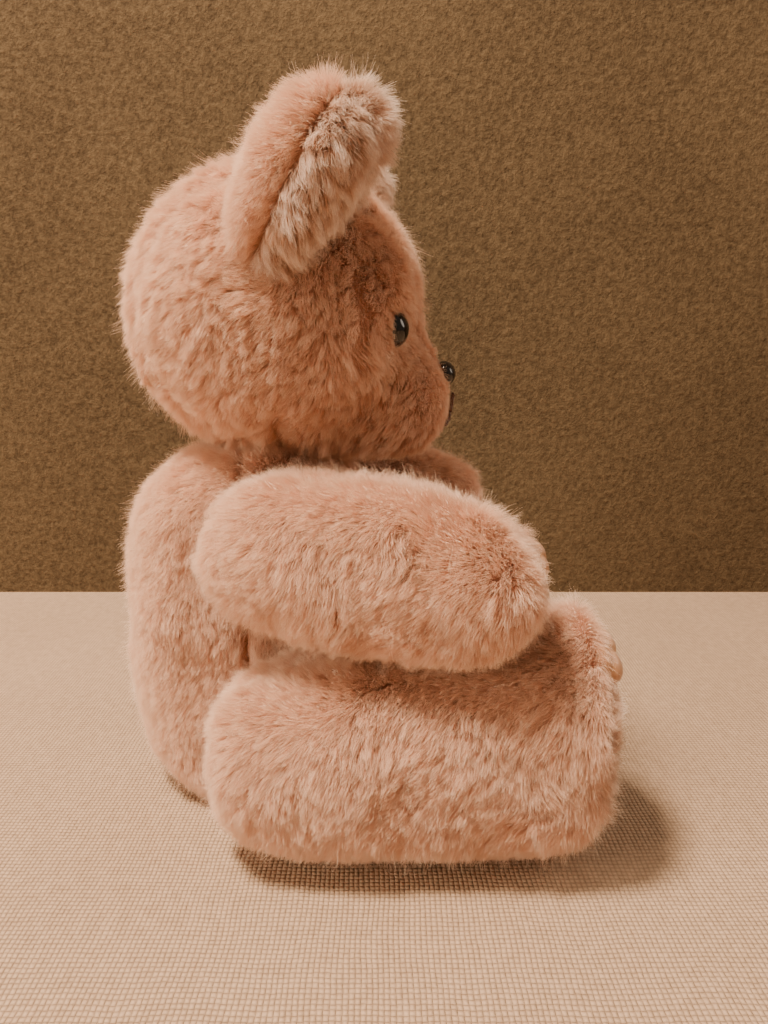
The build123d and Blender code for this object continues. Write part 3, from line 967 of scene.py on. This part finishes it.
@dataclass
class Head:
    """The head: gusset and two sides over skull and muzzle, with its filling."""

    skull: tuple = ((0.0, 22.5, 142.0), (35.0, 39.5, 39.0))
    muzzle: tuple = ((0.0, -9.0, 119.5), (18.5, 17.5, 17.0))
    eye: tuple = (18.0, -11.8, 138.0)
    nose: tuple = (0.0, -25.5, 126.0)
    neck: float = 105.3
    heart: tuple = (0.0, 12.0, 137.0)
    far: float = 70.0
    jaw_top: float = 124.0
    throat_y: float = 26.5
    crown_half: float = 19.0
    dart_y: float = 20.0
    dart_top: float = 116.0
    nose_half: float = 4.5
    blend: float = 3.2
    pile: Pile = Pile(comb=(0.0, 0.6, -0.8), height=3.5, lean=2.6, swirl=0.4, clump=3.2, pull=0.4, stray=0.5)

    def edge(self, p: Array) -> Array:
        """Signed distance to the gusset's edge, inside it negative."""
        share = np.clip((5.0 - p[:, 1]) / 29.0, 0, 1)
        return np.abs(p[:, 0]) - (self.crown_half + (self.nose_half - self.crown_half) * share)

    def seam(self, p: Array) -> Array:
        """Signed distance to the nearest of the gusset's edge, the chin seam and the cheek's dart."""
        edge = self.edge(p)
        chin = (p[:, 2] < self.jaw_top) & (p[:, 1] < self.throat_y)
        line = np.where(chin, p[:, 0], edge)
        across = p[:, 1] - self.dart_y
        dart = np.sign(across) * np.hypot(across, np.maximum(p[:, 2] - self.dart_top, 0))
        return np.where((np.abs(dart) < np.abs(line)) & (p[:, 2] < self.jaw_top), dart, line)

    def distance(self, p: Array) -> Array:
        """Roughly how far points are outside the head."""
        parts = []
        for centre, radii in (self.skull, self.muzzle):
            scaled = (p - np.array(centre)) / np.array(radii)
            parts.append((np.linalg.norm(scaled, axis=-1) - 1) * min(radii))
        return -self.blend * np.logaddexp(-parts[0] / self.blend, -parts[1] / self.blend) + self.blend * 0.12

    def skin(self) -> Skin:
        """The casing, found along rays from inside the head."""
        u = np.linspace(0.02, math.pi - 0.02, 104)[:, None]
        v = np.linspace(0, 2 * math.pi, 136, endpoint=False)[None, :]
        rays = globe(u, v)
        heart = np.array(self.heart)
        low, high = np.zeros(rays.shape[:2]), np.full(rays.shape[:2], self.far)
        for _ in range(26):
            mid = (low + high) / 2
            inside = self.distance(heart + rays * mid[..., None]) < 0
            low, high = np.where(inside, mid, low), np.where(inside, high, mid)
        rings = heart + rays * low[..., None]
        rings[..., 2] = soft_floor(rings[..., 2], self.neck, 0.5)
        skin = Skin.from_rings(rings, rings[0].mean(axis=0), rings[-1].mean(axis=0))
        return grooved(lumpy(skin, 0.5, 30.0, 15), self.seam, 1.6, 2.8)

    def shorten(self, p: Array) -> Array:
        """Clipped pile round the eyes, on the muzzle and by the nose."""
        eye = np.array(self.eye)
        near = np.minimum(np.linalg.norm(p - eye, axis=1), np.linalg.norm(p - eye * [-1, 1, 1], axis=1))
        out = 0.5 + 0.5 * np.clip((near - 4.5) / 5.0, 0, 1)
        snout = np.linalg.norm(p - np.array(self.nose), axis=1)
        out = np.minimum(out, 0.38 + 0.62 * np.clip((snout - 5.0) / 28.0, 0, 1))
        return out

    def build(self, shop: Workshop) -> None:
        """Makes the head's panels, filling and pile."""
        skin = self.skin()
        centre = skin.face_centres()
        chin = (centre[:, 2] < self.jaw_top) & (centre[:, 1] < self.throat_y)
        gusset = (self.edge(centre) < 0) & ~chin
        shop.panel(skin, "head_gusset_cloth", "head", "head_gusset", gusset)
        for side in Side:
            keep = ~gusset & (centre[:, 0] * side.value > 0)
            shop.panel(skin, "head_cloth_" + side.word, "head", "head_side_" + side.word, keep)
        shop.filling(skin, "head_filling", "head", "head_stuffing", 4)
        shop.grower.cover("head", "head", skin, self.pile, 31, shorten=self.shorten, seam=self.seam)


@dataclass
class Ear:
    """One upright ear: a back panel, a cupped front panel and thin wadding."""

    side: Side
    centre: tuple = (30.0, 12.2, 170.8)
    radii: tuple = (16.0, 11.0, 22.5)
    lean: float = 32.0
    splay: float = 15.0
    cup: float = 3.0
    curl: float = 2.8
    top_heavy: float = 0.14
    back_pile: Pile = Pile(comb=(0.0, 0.1, -0.6), height=3.6, lean=1.8, pull=0.28, stray=0.3)
    front_pile: Pile = Pile(comb=(0.0, -0.2, -0.8), height=4.8, lean=2.8, clump=3.0, pull=0.42, stray=0.8)

    @property
    def frame(self) -> Array:
        """Turns the ear's own axes to the toy's, for the left ear."""
        back = Matrix.Rotation(math.radians(self.lean), 3, "X")
        return np.array(back @ Matrix.Rotation(math.radians(self.splay), 3, "Y"))

    def local(self, p: Array) -> Array:
        """Points in the ear's own axes."""
        flipped = p * np.array([self.side.value, 1, 1])
        return (flipped - np.array(self.centre)) @ self.frame

    def seam(self, p: Array) -> Array:
        """Signed distance to the rim seam."""
        return self.local(p)[:, 1]

    def skin(self) -> Skin:
        """The ear's casing."""
        u = np.linspace(0.05, math.pi - 0.05, 56)[:, None]
        v = np.linspace(0, 2 * math.pi, 64, endpoint=False)[None, :]
        rings = globe(u, v)
        plump = np.sign(rings[..., 1]) * np.abs(rings[..., 1]) ** 0.8
        hollow = np.clip(1 - (rings[..., 0] / 0.75) ** 2 - ((rings[..., 2] + 0.1) / 0.85) ** 2, 0, 1)
        shape = np.stack([rings[..., 0] * self.radii[0], plump * self.radii[1],
                          rings[..., 2] * self.radii[2]], axis=-1)
        shape[..., 1] *= 1 + self.top_heavy * rings[..., 2]
        shape[..., 1] += np.where(rings[..., 1] < 0, hollow * self.cup, 0)
        shape[..., 1] -= self.curl * np.clip(rings[..., 2], 0, 1) ** 2
        placed = shape @ self.frame.T + np.array(self.centre)
        skin = Skin.from_rings(placed, placed[0].mean(axis=0), placed[-1].mean(axis=0))
        return skin if self.side is Side.LEFT else skin.mirrored()

    def build(self, shop: Workshop) -> None:
        """Makes the ear's pieces."""
        word = self.side.word
        skin = grooved(lumpy(self.skin(), 0.35, 14.0, 44), self.seam, 1.2, 2.0)
        front = self.seam(skin.face_centres()) < 0
        shop.panel(skin, "ear_front_cloth_" + word, "head", "ear_front_" + word, front)
        shop.panel(skin, "ear_back_cloth_" + word, "head", "ear_back_" + word, ~front)
        shop.filling(skin, "ear_filling_" + word, "head", "ear_wadding_" + word, 6)
        # The ear's front takes the fringe fibres, whose darkened roots are painted shade.
        for name, pile, faces, fringe in (("front", self.front_pile, front, True),
                                          ("back", self.back_pile, ~front, False)):
            half = Skin(skin.verts, skin.quads[faces[:len(skin.quads)]], skin.tris[faces[len(skin.quads):]])
            shop.grower.cover(f"ear_{name}_{word}", "head", half, pile, 50 + self.side.value * 3 + fringe,
                              seam=self.seam, fringe=fringe)


@dataclass
class Limb:
    """An arm or a leg: an outer and an inner panel over its filling."""

    side: Side
    kind: str
    body: str
    stations: tuple
    axis_x: float
    spread: float
    pivot_y: float
    pile: Pile
    seed: int
    wall: float = 25.3
    pivot_z: float = 0.0
    drop: float = 0.0

    def axis(self, y: Array) -> Array:
        """The centre line's X at each Y, on the left side."""
        return self.axis_x + self.spread * (self.pivot_y - y)

    def seam(self, p: Array) -> Array:
        """Signed distance to the seam that runs round the limb, outward positive."""
        return p[:, 0] * self.side.value - self.axis(p[:, 1])

    def skin(self) -> Skin:
        """The limb's casing."""
        path = smooth_path(self.stations, 104)
        angle = np.linspace(0, 2 * math.pi, 96, endpoint=False)
        x = self.axis(path[:, :1]) + path[:, 3:4] * np.cos(angle)
        x = soft_floor(x, self.wall, 0.8)
        z = path[:, 1:2] + path[:, 2:3] * np.sin(angle)
        y = np.broadcast_to(path[:, :1], x.shape)
        rings = np.stack([x, y, z], axis=-1)[1:-1]
        skin = Skin.from_rings(rings, rings[0].mean(axis=0), rings[-1].mean(axis=0))
        return skin if self.side is Side.LEFT else skin.mirrored()

    def shorten(self, p: Array) -> Array:
        """Pile height over the limb; even unless a limb says otherwise."""
        return np.ones(len(p))

    def posed(self, skin: Skin) -> Skin:
        """The skin turned to the limb's own resting angle about its joint."""
        turn = math.radians(self.drop)
        y, z = skin.verts[:, 1] - self.pivot_y, skin.verts[:, 2] - self.pivot_z
        skin.verts[:, 1] = self.pivot_y + y * math.cos(turn) - z * math.sin(turn)
        skin.verts[:, 2] = self.pivot_z + y * math.sin(turn) + z * math.cos(turn)
        return skin

    def build(self, shop: Workshop) -> None:
        """Makes the limb's pieces."""
        word = self.side.word
        skin = self.posed(grooved(lumpy(self.skin(), 0.5, 22.0, self.seed), self.seam, 0.9))
        skin.verts[:, 2] = np.maximum(skin.verts[:, 2], 0.3)
        outer = self.seam(skin.face_centres()) > 0
        shop.panel(skin, f"{self.kind}_outer_cloth_{word}", self.body, f"{self.kind}_outer_{word}", outer)
        shop.panel(skin, f"{self.kind}_inner_cloth_{word}", self.body, f"{self.kind}_inner_{word}", ~outer)
        shop.filling(skin, f"{self.kind}_filling_{word}", self.body, f"{self.kind}_stuffing_{word}",
                     self.seed)
        shop.grower.cover(f"{self.kind}_{word}", self.body, skin, self.pile, self.seed,
                          shorten=self.shorten, seam=self.seam)


class Arm(Limb):
    """One arm, held forward and a little outward."""

    def __init__(self, side: Side) -> None:
        """Sets the arm's sizes."""
        stations = (
            (37.4, 81.5, 0.0, 0.0), (35.5, 81.5, 8.0, 7.0), (32.0, 81.5, 13.0, 10.0),
            (25.0, 82.0, 16.5, 12.6), (14.5, 82.0, 18.5, 13.5), (-2.5, 81.5, 20.0, 13.7),
            (-16.0, 80.5, 19.5, 13.5), (-28.5, 79.0, 17.0, 12.8),
            (-36.5, 78.0, 13.0, 10.5), (-41.0, 77.5, 7.0, 6.0), (-42.5, 77.5, 0.0, 0.0),
        )
        super().__init__(side, "arm", "arm_" + side.word, stations, 35.5, 0.27, 23.5,
                         Pile(comb=(0.0, 0.55, -0.75), height=4.0, lean=2.0, pull=0.24, stray=0.3),
                         61 + side.value,
                         pivot_z=81.0, drop=4.0 if side is Side.LEFT else 0.0)


class Leg(Limb):
    """One leg with its sole, heel pad and toe pads."""

    sole_y = -59.5
    sole_z = 36.5
    sole_half = (17.8, 27.5)
    sole_rise = 6.5
    heel_z = 41.0
    heel_half = (11.5, 11.5)
    toe_z = 59.5
    toe_half = (3.9, 4.9)
    toe_spread = 8.8
    toe_drop = 2.0

    def __init__(self, side: Side) -> None:
        """Sets the leg's sizes."""
        stations = (
            (35.2, 27.0, 0.0, 0.0), (33.5, 27.0, 12.0, 11.0), (30.0, 27.0, 17.5, 15.0),
            (22.0, 27.0, 22.5, 17.3), (7.5, 27.0, 26.5, 18.5), (-17.5, 28.0, 28.0, 18.5),
            (-41.0, 31.5, 30.8, 19.2), (-53.0, 34.5, 31.0, 19.4),
            (-59.5, 36.5, 27.5, 17.8), (-59.9, 36.5, 0.0, 0.0),
        )
        super().__init__(side, "leg", "leg_" + side.word, stations, 40.0, 0.0, 20.5,
                         Pile(comb=(0.0, 0.6, -0.7), height=4.0, lean=2.3, clump=2.8, pull=0.22, stray=0.35),
                         71 + side.value)

    def shorten(self, p: Array) -> Array:
        """Pile cut short under the sole panel, and pressed shorter near the floor."""
        front = np.clip((p[:, 1] - self.sole_y) / 0.3, 0, 1)
        pressed = np.clip((p[:, 2] - 1.0) / 12.0, 0, 1)
        return (0.12 + 0.88 * front) * (0.35 + 0.65 * pressed)

    def sole_skin(self) -> Skin:
        """The padded sole, swelling forward from the leg's front edge."""
        turn = np.linspace(0.03, math.pi / 2 + 0.25, 60)[:, None]
        angle = np.linspace(0, 2 * math.pi, 110, endpoint=False)
        x = self.axis_x + np.sin(turn) * self.sole_half[0] * np.cos(angle)
        z = self.sole_z + np.sin(turn) * self.sole_half[1] * np.sin(angle)
        y = np.broadcast_to(self.sole_y - self.sole_rise * np.cos(turn), x.shape)
        rings = np.stack([x, y, z], axis=-1)
        skin = Skin.from_rings(rings, rings[0].mean(axis=0), rings[-1].mean(axis=0))
        return skin if self.side is Side.LEFT else skin.mirrored()

    def face(self, x: Array, z: Array) -> Array:
        """The Y of the sole's surface, for places on the left leg."""
        u, w = (x - self.axis_x) / self.sole_half[0], (z - self.sole_z) / self.sole_half[1]
        return self.sole_y - self.sole_rise * np.sqrt(np.clip(1 - u * u - w * w, 0, 1))

    def bare(self, p: Array) -> Array:
        """Pile on the sole: clipped where the pads are sewn on, long at its rim."""
        x, z = p[:, 0] * self.side.value - self.axis_x, p[:, 2]
        heel = np.hypot(x / self.heel_half[0], (z - self.heel_z) / self.heel_half[1])
        out = np.clip((heel - 0.92) / 0.35, 0.02, 1)
        for step in (-1, 0, 1):
            toe = np.hypot((x - step * self.toe_spread) / self.toe_half[0],
                           (z - self.toe_z + abs(step) * self.toe_drop) / self.toe_half[1])
            out = np.minimum(out, np.clip((toe - 0.9) / 0.6, 0.02, 1))
        rim = np.hypot(x / self.sole_half[0], (z - self.sole_z) / self.sole_half[1])
        return out * (0.5 + 0.9 * np.clip((rim - 0.72) / 0.25, 0, 1))

    def pad(self, x: float, z: float, half: tuple, rise: float, gathers: int) -> tuple[Array, Array, Array]:
        """One stuffed pad with a gathered edge.

        Args:
            x: its centre on the left side.
            z: its centre height.
            half: half width and half height.
            rise: how far it stands off the sole.
            gathers: small pleats round its edge.

        Returns:
            Vertices, face corners and face sizes.
        """
        t = np.linspace(0.03, 1.0, 26)
        reach = np.sin(t * math.pi / 2 * 1.06) / math.sin(math.pi / 2 * 1.06)
        lift = np.clip(np.cos(t * math.pi / 2), 0, 1) ** 0.7
        angle = np.linspace(0, 2 * math.pi, 96, endpoint=False)
        pleat = 1 + 0.014 * np.cos(gathers * angle) * (t[:, None] ** 3)
        px = x + reach[:, None] * pleat * half[0] * np.cos(angle)
        pz = z + reach[:, None] * pleat * half[1] * np.sin(angle)
        ripple = 0.16 * np.cos(gathers * angle)[None, :] * (t[:, None] ** 4)
        py = self.face(px, pz) + 0.3 - lift[:, None] * rise + ripple
        rings = np.stack([px * self.side.value, py, pz], axis=-1)
        skin = Skin.from_rings(rings, rings[0].mean(axis=0), rings[-1].mean(axis=0) + np.array([0, 0.3, 0]))
        return skin.faces()

    def stitches(self, x: float, z: float, half: tuple, count: int) -> list[tuple[Array, Array, Array]]:
        """Small overcast stitches round a pad's edge."""
        out = []
        for angle in np.linspace(0, 2 * math.pi, count, endpoint=False):
            ends = []
            for scale, lift in ((0.90, 1.1), (0.99, 0.75), (1.07, 0.15)):
                turn = angle + (scale - 1) * 0.4
                px, pz = x + half[0] * scale * math.cos(turn), z + half[1] * scale * math.sin(turn)
                ends.append([px * self.side.value, float(self.face(px, pz)) - lift, pz])
            out.append(tube(smooth_path(ends, 7), 0.2, 6))
        return out

    def build(self, shop: Workshop) -> None:
        """Makes the leg's pieces, then the sole and its pads."""
        super().build(shop)
        word = self.side.word
        skin = self.sole_skin()
        shop.panel(skin, "sole_cloth_" + word, self.body, "leg_sole_" + word,
                   material=shop.finishes.sole)
        half = skin.verts[:, 1] < self.sole_y - 0.4
        faces = half[skin.quads].all(axis=1)
        front = Skin(skin.verts, skin.quads[faces], skin.tris[half[skin.tris].all(axis=1)])
        shop.grower.cover("sole_" + word, self.body, front,
                          Pile(comb=(0.0, 0.0, 0.2), height=2.6, lean=1.4, clump=2.4, stray=0.6),
                          81 + self.side.value, shorten=self.bare, fringe=True)
        heel = joined("heel_pad_" + word, [self.pad(self.axis_x, self.heel_z, self.heel_half, 3.6, 22)])
        toes, threads = [], self.stitches(self.axis_x, self.heel_z, self.heel_half, 34)
        for step in (-1, 0, 1):
            place = (self.axis_x + step * self.toe_spread, self.toe_z - abs(step) * self.toe_drop)
            toes.append(self.pad(*place, self.toe_half, 4.4, 11))
            threads += self.stitches(*place, self.toe_half, 14)
        toe = joined("toe_pads_" + word, toes)
        for obj, node in ((heel, "leg_heel_pad_" + word), (toe, "leg_toe_pads_" + word)):
            Finishes.dress(obj, shop.finishes.satin)
            shop.settle(obj, self.body, (node,))
        stitched = joined("pad_stitches_" + word, threads)
        Finishes.dress(stitched, shop.finishes.seam_thread)
        shop.settle(stitched, self.body)


@dataclass
class Face:
    """Eyes, nose and the stitched mouth."""

    mouth: tuple = (
        ((0.0, 120.5), (0.0, 114.5)),
        ((0.0, 114.5), (2.2, 112.2), (4.6, 111.4)),
        ((0.0, 114.5), (-2.2, 112.2), (-4.6, 111.4)),
    )
    thread: float = 0.55

    def build(self, shop: Workshop) -> None:
        """Dresses the buttons and lays the mouth's thread."""
        for side in Side:
            Finishes.dress(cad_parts["eye_" + side.word], shop.finishes.eye)
        Finishes.dress(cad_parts["nose"], shop.finishes.nose)
        centre, radii = Head.muzzle
        threads = []
        for run in self.mouth:
            points = []
            for x, z in run:
                rise = (x / radii[0]) ** 2 + ((z - centre[2]) / radii[2]) ** 2
                points.append((x, centre[1] - radii[1] * math.sqrt(1 - rise) - 1.3, z))
            if len(points) == 2:
                points.insert(1, tuple((a + b) / 2 for a, b in zip(*points)))
            threads.append(tube(smooth_path(points, 26), self.thread, 15, plies=3))
        obj = joined("mouth_thread", threads)
        Finishes.dress(obj, shop.finishes.thread)
        shop.settle(obj, "head", ("mouth_stitch",))


class Hardware:
    """The joint discs, stems and washers inside the toy."""

    words = ("disc", "washer")

    def build(self, shop: Workshop) -> None:
        """Gives the joint finish to each piece whose name says disc or washer."""
        for name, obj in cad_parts.items():
            if any(word in name for word in self.words):
                Finishes.dress(obj, shop.finishes.joint)


@dataclass(frozen=True)
class Lamp:
    """A round soft lamp, aimed at a height above the middle of the toy."""

    name: str
    place: tuple[float, float, float]
    aim_height: float
    size: float
    power: float
    colour: tuple[float, float, float]

    def build(self) -> None:
        """Hangs the lamp."""
        data = bpy.data.lights.new(self.name, "AREA")
        data.shape, data.size, data.energy, data.color = "DISK", self.size, self.power, self.colour
        obj = bpy.data.objects.new(self.name, data)
        obj.location = self.place
        aim = Vector((0, 0, self.aim_height)) - Vector(self.place)
        obj.rotation_euler = aim.to_track_quat("-Z", "Y").to_euler()
        bpy.context.scene.collection.objects.link(obj)


@dataclass
class Stage:
    """The canvas-covered table, a plain backdrop, the lights and the camera."""

    wall_x: float = 0.1585
    room: float = 1.6
    camera_at: tuple = (-0.208, -0.0075, 0.135)
    tilt: float = 13.7
    lens: float = 24.6
    lamps: tuple[Lamp, ...] = (
        Lamp("ceiling_lamp", (-0.20, 0.36, 1.0), 0.08, 0.2, 27.0, (1.0, 0.84, 0.66)),
        Lamp("room_fill", (-0.55, 0.95, 0.50), 0.1, 0.6, 11.0, (1.0, 0.82, 0.62)),
        Lamp("front_fill", (0.15, -1.1, 0.6), 0.1, 0.7, 5.0, (1.0, 0.84, 0.68)),
        Lamp("side_fill", (1.1, -0.35, 0.75), 0.1, 0.7, 3.0, (1.0, 0.84, 0.68)),
    )
    room_light: tuple = (1.0, 0.80, 0.60, 1.0)
    room_strength: float = 0.25
    room_seen: tuple = (0.215, 0.135, 0.068, 1.0)

    def build(self, shop: Workshop) -> None:
        """Sets the stage."""
        self.table(shop)
        self.wall(shop)
        self.lights()
        self.camera()

    def table(self, shop: Workshop) -> None:
        """A wide plain table top under pale canvas."""
        reach = np.linspace(-self.room, self.room, 24)
        gx, gy = np.meshgrid(reach, reach, indexing="ij")
        self.sheet("table_canvas", (gx, gy, 0 * gx), shop.finishes.canvas)

    def wall(self, shop: Workshop) -> None:
        """A plain napped backdrop, seen only from the toy's side of it."""
        along, up = np.linspace(-self.room, self.room, 24), np.linspace(-0.02, self.room, 16)
        gy, gz = np.meshgrid(along, up, indexing="ij")
        grid = (np.full_like(gy, self.wall_x), gy, gz)
        backdrop = self.sheet("backdrop_nap", grid, shop.finishes.wall, flipped=True)
        backdrop.visible_diffuse = False
        backdrop.visible_shadow = False

    @staticmethod
    def sheet(name: str, grid: Grid, material: bpy.types.Material,
              flipped: bool = False) -> bpy.types.Object:
        """One flat sheet of the stage.

        Args:
            name: the object's name.
            grid: X, Y and Z of a grid of points in metres.
            material: its finish.
            flipped: whether its face is turned the other way.

        Returns:
            The object.
        """
        gx, gy, gz = grid
        index = np.arange(gx.size).reshape(gx.shape)
        corners = (index[:-1, :-1], index[1:, :-1], index[1:, 1:], index[:-1, 1:])
        quads = np.stack(corners, axis=-1).reshape(-1, 4)
        verts = np.stack([gx, gy, gz], axis=-1).reshape(-1, 3)
        if flipped:
            quads = quads[:, ::-1]
        obj = mesh_object(name, verts, quads.ravel(), np.full(len(quads), 4))
        Finishes.dress(obj, material)
        return obj

    def lights(self) -> None:
        """A warm ceiling lamp above and behind the toy, three soft fills and a dim room."""
        for lamp in self.lamps:
            lamp.build()
        world = bpy.data.worlds.new("room")
        world.use_nodes = True
        nodes = Nodes(world.node_tree)
        seen = nodes.add("LightPath").outputs["Is Camera Ray"]
        light = nodes.add("Background", {"Color": self.room_light, "Strength": self.room_strength})
        view = nodes.add("Background", {"Color": self.room_seen, "Strength": 1.0})
        both = nodes.add("MixShader", {0: seen, 1: light.outputs[0], 2: view.outputs[0]})
        out = nodes.add("OutputWorld")
        nodes.tree.links.new(both.outputs[0], out.inputs[0])
        bpy.context.scene.world = world

    def camera(self) -> None:
        """The camera, level with the toy's eyes and tipped down a little."""
        data = bpy.data.cameras.new("camera")
        data.lens, data.sensor_width = self.lens, 36.0
        data.clip_start = 0.01
        obj = bpy.data.objects.new("camera", data)
        obj.location = self.camera_at
        obj.rotation_euler = (math.radians(90 - self.tilt), 0, math.radians(-90))
        bpy.context.scene.collection.objects.link(obj)
        bpy.context.scene.camera = obj


def main() -> None:
    """Builds the toy and its stage, and reports the pieces."""
    logging.basicConfig(level=logging.INFO, format="%(message)s")
    finishes = Finishes()
    shop = Workshop(finishes, Grower(finishes))
    Stage().build(shop)
    Torso().build(shop)
    Head().build(shop)
    for side in Side:
        Ear(side).build(shop)
        Arm(side).build(shop)
        Leg(side).build(shop)
    Face().build(shop)
    Hardware().build(shop)
    LOG.info("%d sewn pieces: %s", len(shop.made), ", ".join(shop.made))


if __name__ == "__main__":
    main()
